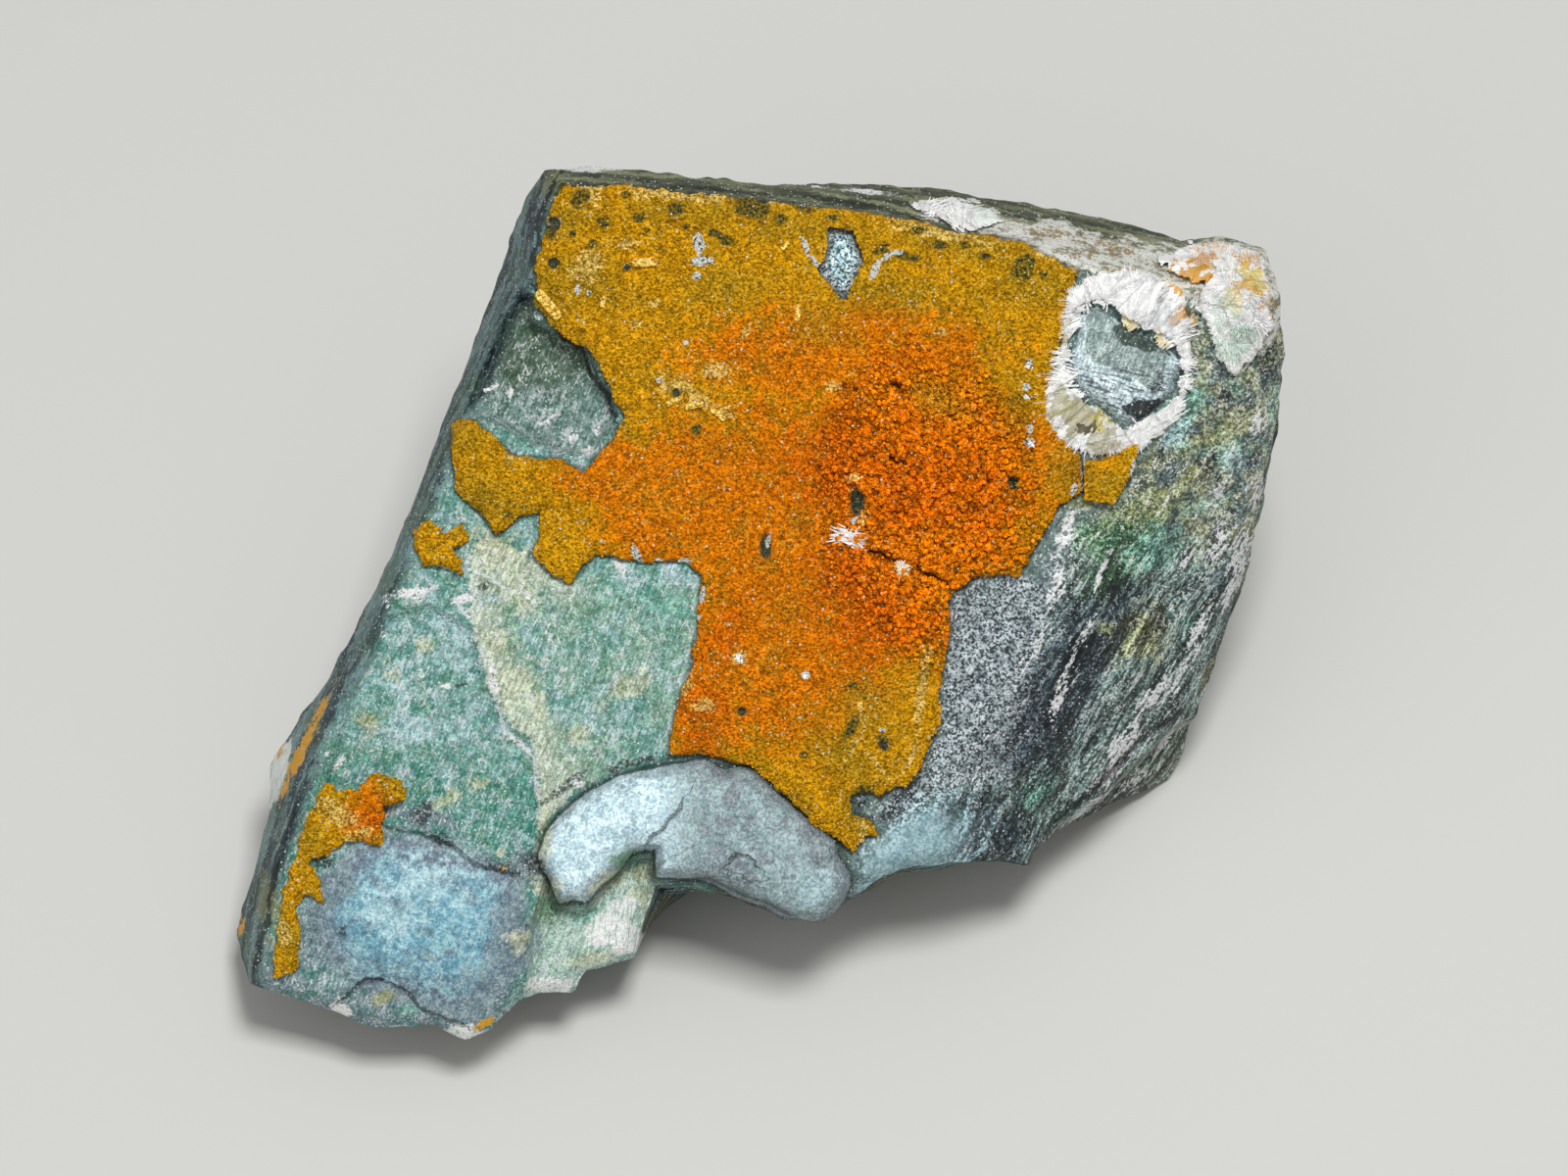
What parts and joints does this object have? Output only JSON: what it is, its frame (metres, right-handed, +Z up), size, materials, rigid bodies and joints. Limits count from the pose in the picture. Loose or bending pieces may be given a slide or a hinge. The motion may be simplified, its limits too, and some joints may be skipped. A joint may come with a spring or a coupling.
{
  "type": "mineral specimen",
  "caption": "Wedge-shaped hand specimen of green serpentinite with an orange desautelsite crust on its sloping broken face and white fibrous artinite along the edges.",
  "frame": {"origin": "on the surface that the specimen rests on, under the middle of its outline seen from above", "axes": "+X to the viewer's right across the crusted face, +Y away from the viewer, +Z up; the crusted face slopes up towards +Y"},
  "size_m": [0.0752, 0.0562, 0.0375],
  "materials": {
    "serpentinite": "waxy to silky, broken",
    "desautelsite": "granular, with small glints",
    "artinite": "fibrous, silky"
  },
  "bodies": {
    "root": {"serpentinite_matrix": "serpentinite", "desautelsite_crust": "desautelsite", "desautelsite_patch_left": "desautelsite", "desautelsite_patch_low": "desautelsite", "desautelsite_flake": "desautelsite", "artinite_ring": "artinite", "artinite_corner_mass": "artinite", "artinite_top_fan": "artinite"}
  },
  "joints": []
}
